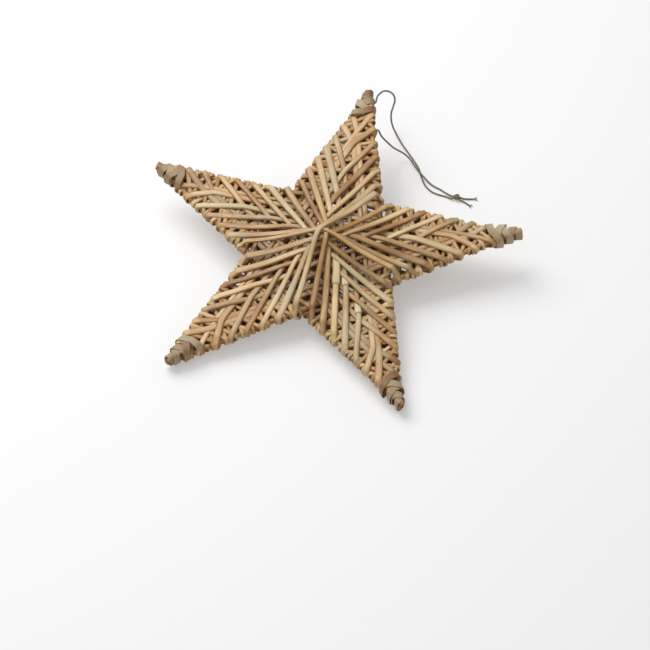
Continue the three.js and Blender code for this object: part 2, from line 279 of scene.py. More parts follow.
def lay_turn(pair, turn, laid, side):
    """One face of a turn: its middle line, a point at each sample."""
    s = sizes()
    plan = np.array([pair_point(pair, *p) for p in turn_plan(turn)])
    stops = np.concatenate([[0], np.cumsum(np.linalg.norm(np.diff(plan, axis=0), axis=1))])
    samples = math.ceil(stops[-1] / SAMPLE)
    along = np.linspace(0, stops[-1], samples + 1)
    places = np.stack([np.interp(along, stops, plan[:, k]) for k in (0, 1)], axis=1)
    ahead = np.gradient(places, axis=0)
    ahead /= np.linalg.norm(ahead, axis=1)[:, None]
    across = np.stack([-ahead[:, 1], ahead[:, 0]], axis=1)
    felt = np.full(samples + 1, fold_radius())
    for feeler in FEELERS:
        points = places + across * feeler * s.width
        for piece in laid:
            felt = np.maximum(felt, piece.surface(points) + s.thickness / 2 + s.gap)
    for end in (0, -1):
        felt[end] = side * fold_rod_height(turn, end == -1) + fold_radius()
    heights = springy_line(felt, along[1])
    return np.column_stack([places, heights])


def rod_line(pair):
    """The middle line of a rod, which weaves over and under the others."""
    reach = outer_crossing() + sizes().stub
    along = np.linspace(-reach, reach, ROD_SAMPLES)
    plan = np.array([pair_point(pair, line_distance(), y) for y in along])
    return np.column_stack([plan, [rod_height(y) for y in along]])


def wound_turns():
    """Front and rear middle lines of every turn, keyed by turn and pair."""
    s = sizes()
    laid = ([], [])
    for pair in range(ARMS):
        line = rod_line(pair)
        for side, face in zip((1, -1), laid):
            face.append(Laid(line * (1, 1, side), s.rod / 2, rod_rise))
    lines = {}
    for turn in reversed(range(s.turns + EXTRA_TURNS)):
        for k in range(ARMS):
            pair = (FIRST_PAIR + k) % ARMS
            faces = []
            for side, face in zip((1, -1), laid):
                line = lay_turn(pair, turn, face, side)
                if turn < s.turns:
                    face.append(Laid(thinned(line), s.width / 2, strip_rise))
                faces.append(line * (1, 1, side))
            lines[turn, pair] = faces
    return lines


# Where the star lies


def lying_pose():
    """The star's place in the row frame, read from its five rods."""
    flat = [[*pair_point(i, line_distance(), 0), 1] for i in range(ARMS)]
    middles = [np.mean(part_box(f"frame_rod_{i + 1}"), axis=0) for i in range(ARMS)]
    right, ahead, centre = np.linalg.lstsq(np.array(flat), np.array(middles), rcond=None)[0]
    columns = [Vector(right).normalized(), Vector(ahead).normalized()]
    columns.append(columns[0].cross(columns[1]))
    turn = Matrix(columns).transposed().to_4x4()
    return Matrix.Translation(Vector(centre)) @ turn


# Mesh making


def swept_sheet(stops, outline, closed, creases=()):
    """A grid carried along stops: each stop has a point, an across and an outward direction.

    The outline is a closed loop of [across, outward] pairs. UVs are metres round the outline
    and along the stops."""
    bm = bmesh.new()
    uv = bm.loops.layers.uv.new("UVMap")
    painted_shade_rim = bm.verts.layers.float.new("painted_shade_rim")
    half_width = max(abs(w) for w, _ in outline)
    around, along = len(outline), len(stops) if closed else len(stops) - 1
    bmesh.ops.create_grid(bm, x_segments=around, y_segments=along, size=1)
    points = np.array([s[0] for s in stops + stops[:1]])
    travelled = np.concatenate([[0], np.cumsum(np.linalg.norm(np.diff(points, axis=0), axis=1))])
    loop = np.array(outline + outline[:1])
    girth = np.concatenate([[0], np.cumsum(np.linalg.norm(np.diff(loop, axis=0), axis=1))])
    place = {}
    column = {}
    for v in bm.verts:
        col = round((v.co.x + 1) / 2 * around)
        row = round((v.co.y + 1) / 2 * along)
        place[v] = (girth[col], travelled[row])
        column[v] = col % around
        point, across, outward = stops[row % len(stops)]
        w, t = outline[col % around]
        # a mask for painted shade: 0 at the middle of the outer face, rising to 1 at its edges and over
        # the whole inner face
        v[painted_shade_rim] = abs(w) / half_width if t > 0 else 1.0
        v.co = point + across * w + outward * t
    for face in bm.faces:
        for corner in face.loops:
            corner[uv].uv = place[corner.vert]
    for edge in bm.edges:
        ends = {column[v] for v in edge.verts}
        edge.smooth = not (len(ends) == 1 and ends <= set(creases))
    bmesh.ops.remove_doubles(bm, verts=bm.verts, dist=1e-7)
    if not closed:
        rims = [e for e in bm.edges if e.is_boundary]
        bmesh.ops.holes_fill(bm, edges=rims, sides=0)
    bmesh.ops.recalc_face_normals(bm, faces=bm.faces)
    return bm


def finished(name, bm, material, place=None):
    """Puts a bmesh in the scene as a piece, its place in its mesh."""
    if place is not None:
        bmesh.ops.transform(bm, matrix=place, verts=bm.verts)
    mesh = bpy.data.meshes.new(name)
    bm.to_mesh(mesh)
    bm.free()
    mesh.shade_smooth()
    mesh.materials.append(material)
    piece = bpy.data.objects.new(name, mesh)
    bpy.context.scene.collection.objects.link(piece)
    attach(piece, ROOT)
    return piece


def give_tone(piece, tone, pale=0.0):
    """A piece's own shade and how far it has kept its pale green bark, read by its material."""
    for name, value in (("tone", tone), ("pale", pale)):
        layer = piece.data.attributes.new(name, "FLOAT", "POINT")
        layer.data.foreach_set("value", [value] * len(piece.data.vertices))


def shift_grain(bm, offset):
    """Moves the texture of a strip, so that no two show the same grain."""
    uv = bm.loops.layers.uv.active
    for face in bm.faces:
        for corner in face.loops:
            corner[uv].uv.x += offset


def frames_along(points, across, closed):
    """Stops with an across direction square to the path and the outward one."""
    stops = []
    n = len(points)
    for i, (p, a) in enumerate(zip(points, across)):
        ahead = points[(i + 1) % n] if closed else points[min(i + 1, n - 1)]
        behind = points[(i - 1) % n] if closed else points[max(i - 1, 0)]
        along = (Vector(ahead) - Vector(behind)).normalized()
        a = Vector(a)
        a = (a - along * a.dot(along)).normalized()
        stops.append((Vector(p), a, a.cross(along).normalized()))
    return stops


SPLIT_SECTION = (  # across and outward, as shares of a strip's width and thickness
    (0.5, 0.02), (0.36, 0.4), (0.14, 0.5), (-0.14, 0.5), (-0.36, 0.4), (-0.5, 0.02),
    (-0.44, -0.3), (0.44, -0.3),
)
CREASES = (0, 1, 4, 5, 6, 7)  # corners of the section that show as edges along a strip


def strip_outline(width, thickness):
    """A split strip: a flat inner face, bevelled sides and a crowned outer face."""
    return [(w * width, t * thickness) for w, t in SPLIT_SECTION]


# Materials


VALUE = "NodeSocketFloat"
VECTOR = "NodeSocketVector"
MIX_FACTOR, MIX_FIRST, MIX_SECOND, MIX_RESULT = 0, 6, 7, 2  # the colour sockets of a mix node

WILLOW_LINES = (2600.0, 55.0, 1.0)  # noise per metre, across and along a strip
WILLOW_BLOTCHES = (110.0, 26.0, 1.0)
WILLOW_PATCHES = (34.0, 34.0, 34.0)
LINE_SHADE = (1.25, -0.61)  # what the lines add to a strip's tone: a factor, and then a sum
BLOTCH_SHADE = (1.3, -0.58)
RIM_POWER = 2.4  # how closely the painted shade keeps to the edges of a strip
# how much the painted shade darkens a strip's edges and its inner face
RIM_PAINTED_SHADE = -0.55
PATCH_RANGE = (0.5, 0.72)  # noise at which a green patch starts, and is at its strongest
WILLOW_GLOSS = 0.6
WILLOW_DEPTH = 0.0004
TWINE_FIBRES = (2600.0, 500.0, 1.0)
TWINE_ROUGHNESS = 0.95
TWINE_GLOSS = 0.2
TWINE_RELIEF = 0.6
TWINE_DEPTH = 0.0002


def linked(tree, kind, inputs=None, **settings):
    """A node with its settings made and its inputs linked or set."""
    node = tree.nodes.new(kind)
    for key, value in settings.items():
        setattr(node, key, value)
    for key, value in (inputs or {}).items():
        if isinstance(value, bpy.types.NodeSocket):
            tree.links.new(value, node.inputs[key])
        else:
            node.inputs[key].default_value = value
    return node


def worked(tree, operation, *values, clamp=False):
    """The result of a maths node on sockets and numbers."""
    node = linked(tree, "ShaderNodeMath", dict(enumerate(values)), operation=operation,
                  use_clamp=clamp)
    return node.outputs[0]


def noise(tree, vector, scale, detail, roughness=0.5):
    """Noise from 0 to 1 over a vector, scaled on each axis."""
    placed = linked(tree, "ShaderNodeVectorMath", {0: vector, 1: scale}, operation="MULTIPLY")
    node = linked(tree, "ShaderNodeTexNoise", {
        "Vector": placed.outputs[0], "Scale": 1.0, "Detail": detail, "Roughness": roughness})
    return node.outputs["Fac"]


def attribute(tree, name):
    """A value that a piece's mesh holds for each point."""
    return linked(tree, "ShaderNodeAttribute", attribute_name=name).outputs["Fac"]


def ramp(tree, fac, stops):
    """Colours along a scale from 0 to 1."""
    node = linked(tree, "ShaderNodeValToRGB", {"Fac": fac})
    band = node.color_ramp
    while len(band.elements) < len(stops):
        band.elements.new(0.5)
    for element, (position, rgb) in zip(band.elements, stops):
        element.position = position
        element.color = (*rgb, 1)
    return node.outputs["Color"]


def shared_group(name, build, inputs, outputs):
    """The node group of this name, built for the first material that asks for it."""
    group = bpy.data.node_groups.get(name)
    if group is None:
        group = bpy.data.node_groups.new(name, "ShaderNodeTree")
        for direction, sockets in (("INPUT", inputs), ("OUTPUT", outputs)):
            for socket, kind in sockets.items():
                group.interface.new_socket(socket, in_out=direction, socket_type=kind)
        given = group.nodes.new("NodeGroupInput").outputs
        made = group.nodes.new("NodeGroupOutput").inputs
        for socket, value in build(group, given).items():
            group.links.new(value, made[socket])
    return group


def willow_surface(tree, given):
    """How light, how green and how high a strip is at each place, from its UVs in metres."""
    lines = noise(tree, given["Vector"], WILLOW_LINES, 4.0, 0.6)
    blotch = noise(tree, given["Vector"], WILLOW_BLOTCHES, 3.0, 0.55)
    blotched = worked(tree, "MULTIPLY_ADD", blotch, *BLOTCH_SHADE)
    toned = worked(tree, "ADD", blotched, given["Tone"])
    lined = worked(tree, "MULTIPLY_ADD", lines, *LINE_SHADE)
    # Painted shade: darker towards the edges of a strip and over its inner face; ridge holds it
    # together with the lines
    edges = worked(tree, "POWER", given["Painted shade rim"], RIM_POWER)
    ridge = worked(tree, "MULTIPLY_ADD", edges, RIM_PAINTED_SHADE, lined)
    first, last = PATCH_RANGE
    patch = linked(tree, "ShaderNodeMapRange", {
        "Value": noise(tree, given["Place"], WILLOW_PATCHES, 2.0),
        "From Min": first, "From Max": last, "To Max": given["Patches"]})
    return {
        "Shade": worked(tree, "ADD", toned, ridge, clamp=True),
        "Green": worked(tree, "ADD", patch.outputs[0], given["Bark"], clamp=True),
        "Height": worked(tree, "ADD", lines, blotch),
    }


def twine_surface(tree, given):
    """The fibres of a twine, light where they stand up."""
    return {"Fibres": noise(tree, given["Vector"], TWINE_FIBRES, 3.0)}


def new_material(name):
    """A material with its node tree and its shader."""
    material = bpy.data.materials.new(name)
    material.use_nodes = True
    return material, material.node_tree, material.node_tree.nodes["Principled BSDF"]


def dress(tree, shader, look, height, roughness, gloss, relief, depth):
    """Gives a shader its colour, gloss and relief."""
    tree.links.new(look, shader.inputs["Base Color"])
    shader.inputs["Roughness"].default_value = roughness
    shader.inputs["Specular IOR Level"].default_value = gloss
    bump = linked(tree, "ShaderNodeBump", {
        "Height": height, "Strength": relief, "Distance": depth})
    tree.links.new(bump.outputs[0], shader.inputs["Normal"])


def willow_material(name, patches, roughness, relief):
    """Peeled willow: pale satin wood with fine lines along it, tan streaks, green patches and painted
    shade at the edges.
    """
    c = colours()
    material, tree, shader = new_material(name)
    group = shared_group(
        "Willow", willow_surface,
        {"Vector": VECTOR, "Place": VECTOR, "Tone": VALUE, "Painted shade rim": VALUE, "Bark": VALUE,
         "Patches": VALUE},
        {"Shade": VALUE, "Green": VALUE, "Height": VALUE})
    willow = linked(tree, "ShaderNodeGroup", {
        "Vector": linked(tree, "ShaderNodeUVMap", uv_map="UVMap").outputs[0],
        "Place": linked(tree, "ShaderNodeTexCoord").outputs["Object"],
        "Tone": attribute(tree, "tone"), "Painted shade rim": attribute(tree, "painted_shade_rim"),
        "Bark": attribute(tree, "pale"), "Patches": patches}, node_tree=group)
    # The dark end shows the tan streaks and also the painted shade on edges and inner faces
    tan = ramp(tree, willow.outputs["Shade"], [
        (0.0, c.willow_streaks_and_shade), (0.45, c.willow_middle), (1.0, c.willow_light)])
    body = linked(tree, "ShaderNodeMix", {
        MIX_FACTOR: willow.outputs["Green"], MIX_FIRST: tan, MIX_SECOND: (*c.willow_green, 1)},
        data_type="RGBA")
    dress(tree, shader, body.outputs[MIX_RESULT], willow.outputs["Height"], roughness,
          WILLOW_GLOSS, relief, WILLOW_DEPTH)
    return material


def twine_material(name, dark, light):
    """Hairy two-ply twine, lighter on its raised fibres."""
    material, tree, shader = new_material(name)
    group = shared_group("Twine", twine_surface, {"Vector": VECTOR}, {"Fibres": VALUE})
    uv = linked(tree, "ShaderNodeUVMap", uv_map="UVMap")
    twine = linked(tree, "ShaderNodeGroup", {"Vector": uv.outputs[0]}, node_tree=group)
    fibres = twine.outputs["Fibres"]
    dress(tree, shader, ramp(tree, fibres, [(0.3, dark), (0.7, light)]), fibres,
          TWINE_ROUGHNESS, TWINE_GLOSS, TWINE_RELIEF, TWINE_DEPTH)
    return material


# Pieces


STRIP_SWELL = 1.08  # a strip's rounded edges stand a little outside its laid width
STRIP_BODY = 0.0022  # thickness of a strip as it is seen
FOLD_REACH = 0.0039  # how far a fold reaches past the middle of its rod, along the strip
FOLD_HEIGHT = 0.0033  # half the height of a fold
FOLD_SQUARE = 0.6  # under 1, it makes a fold squarer than a half circle
FOLD_STEPS = 8
SOFTENING = 40  # rounds in which the rises and dips of a turn are drawn out
STRIP_WIDTHS = (0.82, 1.02)  # least and most width of a strip, as shares of its full width
STRIP_BODIES = (0.9, 1.1)  # the same for its thickness
STRIP_SWAY = 0.0004  # how far a strip wanders to the side, at most
SWAY_WAVES = (0.6, 1.6)  # how many times it does so along a face
SWAY_PHASES = (0, 6)
FOLD_WIDER = 0.15  # how much wider a strip is at its folds and narrower between them
SIDE_WIDER = 0.08  # the same for one side of its ring
GRAIN_SHIFTS = (0, 5)
STRIP_TONES = (0.2, 0.84)
STRIP_BARK = 0.4  # the most green bark that is left on a strip
SLEEVE_WIDER, SLEEVE_THICKER = 1.28, 1.35
SLEEVE_TONE, SLEEVE_BARK = 1.1, 0.4
SLEEVES = {  # by turn and pair: where a strip still wears its pale sheath, as shares of its length
    (2, 3): ((0.118, 0.19),),
    (3, 3): ((0.128, 0.15),),
    (4, 3): ((0.085, 0.115),),
}


def squared(value, power):
    """A sine or cosine pushed out towards 1 or -1, as for a circle with flattened sides."""
    return math.copysign(abs(value) ** power, value)


def fold_points(centre, outward, rod_z, reach=FOLD_REACH, height=FOLD_HEIGHT):
    """The fold of a turn round the edge of an arm, from the front face to the rear one."""
    points = []
    for k in range(FOLD_STEPS + 1):
        a = math.pi * (0.5 - k / FOLD_STEPS)
        out = squared(math.cos(a), FOLD_SQUARE)
        up = squared(math.sin(a), FOLD_SQUARE)
        p = centre + outward * reach * out
        points.append(np.array([p[0], p[1], rod_z + height * up]))
    return points


def eased(values, rounds):
    """Softens a closed line of points."""
    for _ in range(rounds):
        values = (np.roll(values, 1, 0) + 2 * values + np.roll(values, -1, 0)) / 4
    return values


def softened(line, rounds):
    """The same line with its rises and dips drawn out, its ends kept."""
    z = line[:, 2].copy()
    for _ in range(rounds):
        z[1:-1] = (z[:-2] + 2 * z[1:-1] + z[2:]) / 4
    return np.column_stack([line[:, :2], z])


def turn_ring(turn, front, rear, sway):
    """Points and across directions of a whole turn, round and back."""
    front, rear = softened(front, SOFTENING), softened(rear, SOFTENING)
    ahead = np.gradient(front[:, :2], axis=0)
    ahead /= np.linalg.norm(ahead, axis=1)[:, None]
    right = np.column_stack([ahead[:, 1], -ahead[:, 0], np.zeros(len(ahead))])
    drift = (right.T * sway).T
    ends = []
    for at_end, i in ((True, -1), (False, 0)):
        outward = np.append(ahead[i] * (1 if at_end else -1), 0)
        points = fold_points((front[i] + rear[i]) / 2, outward, fold_rod_height(turn, at_end))
        ends.append(points if at_end else points[::-1])
    front, rear = (front + drift)[1:-1], (rear + drift)[-2:0:-1]
    points = np.vstack([front, ends[0], rear, ends[1]])
    fronts, rears = right[1:-1], right[-2:0:-1]
    across = np.vstack([fronts, [right[-1]] * len(ends[0]), rears, [right[0]] * len(ends[1])])
    return eased(points, 1), eased(across, 3)


ROD_STOPS = 97
ROD_SIDES = 12
ROD_TONE, ROD_TONE_STEP = 0.3, 0.05


class STAR_OT_rods(bpy.types.Operator):
    """Makes the five frame rods, smooth and with cut ends"""

    bl_idname = "star.rods"
    bl_label = "Frame rods"

    def execute(self, context):
        place = lying_pose()
        s = sizes()
        material = willow_material("peeled_rod", patches=0.25, roughness=0.62, relief=0.5)
        for pair in range(ARMS):
            coarse = rod_line(pair)
            fine = np.linspace(0, len(coarse) - 1, ROD_STOPS)
            line = np.stack([np.interp(fine, range(len(coarse)), coarse[:, k]) for k in range(3)],
                            axis=1)
            flat = arm_angle(pair + 1)
            level = (math.cos(flat), math.sin(flat), 0)
            stops = frames_along(line, [level] * ROD_STOPS, closed=False)
            outline = [(math.cos(a) * s.rod / 2, math.sin(a) * s.rod / 2)
                       for a in np.linspace(0, 2 * math.pi, ROD_SIDES, endpoint=False)]
            bm = swept_sheet(stops, outline, closed=False)
            rod = finished(f"peeled_rod_{pair + 1}", bm, material, place)
            give_tone(rod, ROD_TONE + ROD_TONE_STEP * pair)
            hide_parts(f"frame_rod_{pair + 1}")
        return {"FINISHED"}


class STAR_OT_willow(bpy.types.Operator):
    """Winds the split willow round every pair of arms, from the tips inwards"""

    bl_idname = "star.willow"
    bl_label = "Willow turns"

    def execute(self, context):
        place = lying_pose()
        s = sizes()
        material = willow_material("split_willow", patches=0.45, roughness=0.37, relief=0.75)
        rng = np.random.default_rng(7)
        for (turn, pair), (front, rear) in wound_turns().items():
            wide = rng.uniform(*STRIP_WIDTHS)
            steps = np.linspace(0, 2 * math.pi, len(front))
            waves = np.sin(steps * rng.uniform(*SWAY_WAVES) + rng.uniform(*SWAY_PHASES))
            sway = STRIP_SWAY * waves * np.sin(steps / 2)
            points, across = turn_ring(turn, front, rear, sway)
            outline = strip_outline(
                s.width * STRIP_SWELL * wide, STRIP_BODY * rng.uniform(*STRIP_BODIES))
            stops = frames_along(points, across, closed=True)
            phase = rng.uniform(0, 2 * math.pi)
            turns = np.linspace(0, 2 * math.pi, len(stops), endpoint=False)
            widths = 1 + FOLD_WIDER * np.cos(2 * turns) + SIDE_WIDER * np.sin(phase + turns)
            stops = [(p, a * w, out) for (p, a, out), w in zip(stops, widths)]
            bm = swept_sheet(stops, outline, closed=True, creases=CREASES)
            shift_grain(bm, rng.uniform(*GRAIN_SHIFTS))
            strip = finished(f"willow_strip_{turn + 1}_{pair + 1}", bm, material, place)
            give_tone(strip, rng.uniform(*STRIP_TONES), STRIP_BARK * rng.random() ** 3)
            if turn < s.turns:
                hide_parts(f"willow_turn_{turn + 1}_{pair + 1}")
            for first, last in SLEEVES.get((turn, pair), ()):
                part = stops[round(first * len(stops)): round(last * len(stops))]
                thick = [(w * SLEEVE_WIDER, t * SLEEVE_THICKER) for w, t in outline]
                bm = swept_sheet(part, thick, closed=False, creases=CREASES)
                sleeve = finished(f"pale_sleeve_{turn + 1}_{pair + 1}", bm, material, place)
                give_tone(sleeve, SLEEVE_TONE, SLEEVE_BARK)
        return {"FINISHED"}


WRAP_REACH = 0.0033  # how far a wrap reaches past the middle of its rod
WRAP_HEIGHT = 0.0029  # half the height of a wrap
WRAP_STATIONS = np.arange(0.047, 0.1281, 0.0081)  # along an arm, the middles of its wraps
WRAP_SKEW = 0.007  # half of a wrap's advance along the arm, from one edge to the other
WRAP_SKEWS = (0.8, 1.25)  # least and most share of it
WRAP_APART = 0.004  # along the arm, between the two wraps of a station, which cross
WRAP_SLIPS = (-0.0012, 0.0012)  # how far a wrap lies off its place
WRAP_WIDTHS = (0.65, 0.9)
WRAP_BODY = 0.0017
WRAP_TONES = (0.28, 0.74)
WRAP_BARK = 0.2
WRAP_FACE = np.linspace(0.08, 0.92, 7)[:, None]  # places on a face, from one fold to the next


def wrap_ring(arm, station, skew):
    """Points and across directions of a wrap round the two rods of one arm."""
    s = sizes()
    corners = []
    for side in (-1, 1):
        r = station + side * skew
        half = (s.tip_radius - r) * math.tan(HALF_TIP)
        along = outer_crossing() - (s.tip_radius - r) / math.cos(HALF_TIP)
        plan = turned(r, side * half, arm_angle(arm))
        corners.append(np.array([plan[0], plan[1], rod_height(-side * along)]))
    start, end = corners
    ahead = (end - start) * (1, 1, 0)
    ahead /= np.linalg.norm(ahead)
    ends = [fold_points(corner, ahead * out, corner[2], WRAP_REACH, WRAP_HEIGHT)
            for corner, out in ((end, 1), (start, -1))]
    up = np.array([0, 0, WRAP_HEIGHT])
    front = start + (end - start) * WRAP_FACE + up
    rear = end + (start - end) * WRAP_FACE - up
    points = np.vstack([front, ends[0], rear, ends[1][::-1]])
    right = np.array([ahead[1], -ahead[0], 0])
    return points, [right] * len(points)


class STAR_OT_wraps(bpy.types.Operator):
    """Wraps every arm with willow that crosses under the turns and closes the gaps"""

    bl_idname = "star.wraps"
    bl_label = "Arm wraps"

    def execute(self, context):
        place = lying_pose()
        s = sizes()
        material = willow_material("wrapped_willow", patches=0.3, roughness=0.6, relief=0.55)
        rng = np.random.default_rng(11)
        for arm in range(ARMS):
            for i, station in enumerate(WRAP_STATIONS):
                for j, skew in enumerate((WRAP_SKEW, -WRAP_SKEW)):
                    at = station + WRAP_APART * j + rng.uniform(*WRAP_SLIPS)
                    points, across = wrap_ring(arm, at, skew * rng.uniform(*WRAP_SKEWS))
                    outline = strip_outline(s.width * rng.uniform(*WRAP_WIDTHS), WRAP_BODY)
                    stops = frames_along(points, across, closed=True)
                    bm = swept_sheet(stops, outline, closed=True, creases=CREASES)
                    shift_grain(bm, rng.uniform(*GRAIN_SHIFTS))
                    name = f"arm_wrap_{arm + 1}_{i + 1}_{j + 1}"
                    wrap = finished(name, bm, material, place)
                    give_tone(wrap, rng.uniform(*WRAP_TONES), WRAP_BARK * rng.random() ** 3)
        return {"FINISHED"}


STRAP_STATIONS = (0.1335, 0.1381, 0.1427, 0.1473, 0.1517)  # centre to each strip of an arm
STRAP_SKEW = 0.5  # lean of a strip, as a share of its reach to the side
STRAP_APEX = 0.3  # how far its middle points to the centre, as a share of that reach
STRAP_SQUARE = 0.6
STRAP_STEPS = 36
STRAP_CLEAR = 0.0013  # how far a strip stands off the rods at the side
STRAP_LIFT = 0.0003  # how far the outermost strip stands off them above and below
STRAP_LAYER = 0.0005  # how much more each strip nearer to the centre does
STRAP_TONES = (-0.15, 0.7)
STRAP_BARKS = (0.0, 0.55)


def strap_ring(arm, i):
    """Points of a strip of strap round the tip of an arm, each strip over the ones further out."""
    s = sizes()
    station = STRAP_STATIONS[i]
    base = (s.tip_radius - station) * math.tan(HALF_TIP) + s.rod / 2 / math.cos(HALF_TIP)
    high = s.rod + s.gap / 2 + STRAP_LIFT + STRAP_LAYER * (len(STRAP_STATIONS) - 1 - i)
    skew = STRAP_SKEW * base * (1 if i % 2 else -1)
    points = []
    for a in np.linspace(0, 2 * math.pi, STRAP_STEPS, endpoint=False):
        aside = squared(math.cos(a), STRAP_SQUARE)
        reach = station - STRAP_APEX * base * (1 - abs(aside)) + skew * aside
        plan = turned(reach, (base + STRAP_CLEAR) * aside, arm_angle(arm))
        points.append((plan[0], plan[1], high * squared(math.sin(a), STRAP_SQUARE)))
    return points


class STAR_OT_bindings(bpy.types.Operator):
    """Binds the tips with turns of flat strap"""

    bl_idname = "star.bindings"
    bl_label = "Tip bindings"

    def execute(self, context):
        place = lying_pose()
        s = sizes()
        material = willow_material("flat_strap", patches=0.45, roughness=0.5, relief=0.6)
        rng = np.random.default_rng(3)
        outline = strip_outline(s.strap_width, s.strap_thickness)
        for arm in range(ARMS):
            level = (math.cos(arm_angle(arm)), math.sin(arm_angle(arm)), 0)
            for i in range(len(STRAP_STATIONS)):
                stops = frames_along(strap_ring(arm, i), [level] * STRAP_STEPS, closed=True)
                bm = swept_sheet(stops, outline, closed=True, creases=CREASES)
                strap = finished(f"strap_{arm + 1}_{i + 1}", bm, material, place)
                give_tone(strap, rng.uniform(*STRAP_TONES), rng.uniform(*STRAP_BARKS))
            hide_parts(f"tip_binding_{arm + 1}")
        return {"FINISHED"}


# The twine


# Points of the twine, in millimetres from the row frame's origin

LEG_ONE = (
    (31.7, 137, 48.7), (32.2, 140.4, 48.9), (33.7, 144.2, 48.6), (37.6, 149.9, 46.8),
    (42, 153.9, 42.6), (45.8, 156.1, 36.7), (47.2, 156.7, 30), (46.1, 156.5, 23.3),
    (44.5, 155.4, 16.6), (44.5, 152.7, 11.2), (45.9, 149, 6.9), (49.4, 142.6, 3), (53.4, 134.6, 1),
    (57.5, 126.5, 0.8), (62, 117.6, 0.8), (66.1, 108.2, 0.8), (68.2, 98.7, 0.8), (70.8, 89.7, 0.8),
    (75.4, 82.9, 0.8), (81, 79.2, 0.8), (86.5, 77.2, 0.8), (90, 75.2, 1.1), (92.3, 73.6, 1.6),
)
LEG_TWO = (
    (32.7, 109.3, 43.7), (33.9, 110.1, 41), (35.1, 110.5, 36.7), (38, 112, 30.4),
    (41.6, 113.9, 23.7), (45.9, 116.2, 16.2), (50.8, 118.3, 10.3), (55.1, 118.5, 6.4),
    (59.1, 115.5, 4.2), (62.1, 110.6, 3.1), (65.7, 103.8, 2.7), (69.8, 97.1, 2.7), (73.8, 92, 1.6),
    (78.3, 87.9, 0.8), (82.9, 84.7, 0.8), (86.9, 81.1, 0.8), (90, 78.5, 1.1), (92.4, 76.4, 1.6),
)
KNOT_STUBS = (  # from the middle of the knot out to each leg and tail
    ((95.4, 74.6, 2.6), (93.8, 74.2, 2.2), (92, 73.8, 1.6)),
    ((95.4, 75, 2.6), (93.9, 75.6, 2.2), (92.1, 76.6, 1.6)),
    ((96.2, 74.8, 2.6), (97.8, 74.8, 2.2), (99.3, 74.8, 1.5)),
    ((96, 74.6, 2.6), (97.2, 73.4, 2.2), (98.6, 72.4, 1.5)),
)
TAIL_ONE = (
    (99, 74.8, 1.6), (101.5, 74.4, 1), (104, 74.2, 0.8), (109, 74.2, 0.8),
)
TAIL_TWO = (
    (98.3, 72.5, 1.6), (100.1, 71.7, 1), (102.1, 70.6, 0.8), (105.1, 67.9, 0.8),
)
ROOT_ONE = ((25, 133.6, 47.2), (28.8, 134.2, 48), (31.2, 135.8, 48.5), (31.8, 138, 48.75))
ROOT_TWO = ((26.5, 107.3, 43.4), (30.3, 108.2, 44.4), (32.3, 109, 44.1), (33.2, 109.6, 42.7))
TAIL_ENDS = ((109, 74.2, 0.0), (105.1, 67.9, -0.73))  # its place, and the heading there
LYING = 0.8  # height of the middle of a twine that lies on the floor

KNOT_PLACE = (0.0958, 0.0748)
TREFOILS = ((1.0, 0.0), (0.8, math.pi / 3))  # size and turn of the loops in the knot
TREFOIL_STEPS = 100
KNOT_DEPTH = 1.6
CURVE_STEPS = 24  # between two of a route's points
TWINE_STEP = 0.0005
PATH_STEP = 0.004  # between the points of a leg's path
TWINE_SIDES = 12
PLY_WAIST, PLY_LOBE = 0.8, 0.24  # least radius of the section, and the rise of its two lobes
PLY_PITCH = 0.0042  # length of one full twist of the twine
FRAY_COUNT = 12
FRAY_WIDTH = 0.0007
FRAY_ROOT = 1.8  # how far back in the tail a fibre starts, in millimetres
FRAY_REACHES = (1.2, 3.6)  # its least and most length, in millimetres
FRAY_SPREAD = (-0.5, 0.5)
FRAY_RISES = (0.0, 0.35)


def route(points, step):
    """A smooth line through points given in millimetres: points in metres, a step apart."""
    p = [Vector(q) / 1000 for q in points]
    p = [2 * p[0] - p[1], *p, 2 * p[-1] - p[-2]]
    line = []
    for i in range(1, len(p) - 2):
        t = [0.0]
        for j in range(i - 1, i + 2):
            t.append(t[-1] + max((p[j + 1] - p[j]).length, 1e-9) ** 0.5)
        for u in np.linspace(t[1], t[2], CURVE_STEPS, endpoint=False):
            a = [p[i - 1 + k].lerp(p[i + k], (u - t[k]) / (t[k + 1] - t[k])) for k in range(3)]
            b = [a[k].lerp(a[k + 1], (u - t[k]) / (t[k + 2] - t[k])) for k in range(2)]
            line.append(b[0].lerp(b[1], (u - t[1]) / (t[2] - t[1])))
    line.append(p[-2])
    line = np.array(line)
    far = np.concatenate([[0], np.cumsum(np.linalg.norm(np.diff(line, axis=0), axis=1))])
    count = max(2, round(far[-1] / step) + 1)
    even = np.linspace(0, far[-1], count)
    return np.stack([np.interp(even, far, line[:, k]) for k in range(3)], axis=1), far[-1]


def twisted_twine(line, diameter):
    """A two-ply twine along a line: a two-lobed section that turns as it goes."""
    outline = []
    for a in np.linspace(0, 2 * math.pi, TWINE_SIDES, endpoint=False):
        r = diameter / 2 * (PLY_WAIST + PLY_LOBE * abs(math.cos(a)))
        outline.append((math.cos(a) * r, math.sin(a) * r))
    side = Vector((0, 0, 1)).cross(Vector(line[1] - line[0])).normalized()
    stops = []
    travelled = 0.0
    for i, p in enumerate(line):
        ahead = Vector(line[min(i + 1, len(line) - 1)] - line[max(i - 1, 0)]).normalized()
        side = (side - ahead * side.dot(ahead)).normalized()
        if i:
            travelled += float(np.linalg.norm(line[i] - line[i - 1]))
        twist = Matrix.Rotation(2 * math.pi * travelled / PLY_PITCH, 3, ahead)
        across = twist @ side
        stops.append((Vector(p), across, across.cross(ahead).normalized()))
    return swept_sheet(stops, outline, closed=False)


def joined(parts):
    """Several bmeshes as one."""
    whole = bmesh.new()
    for part in parts:
        mesh = bpy.data.meshes.new("part")
        part.to_mesh(mesh)
        part.free()
        whole.from_mesh(mesh)
        bpy.data.meshes.remove(mesh)
    return whole


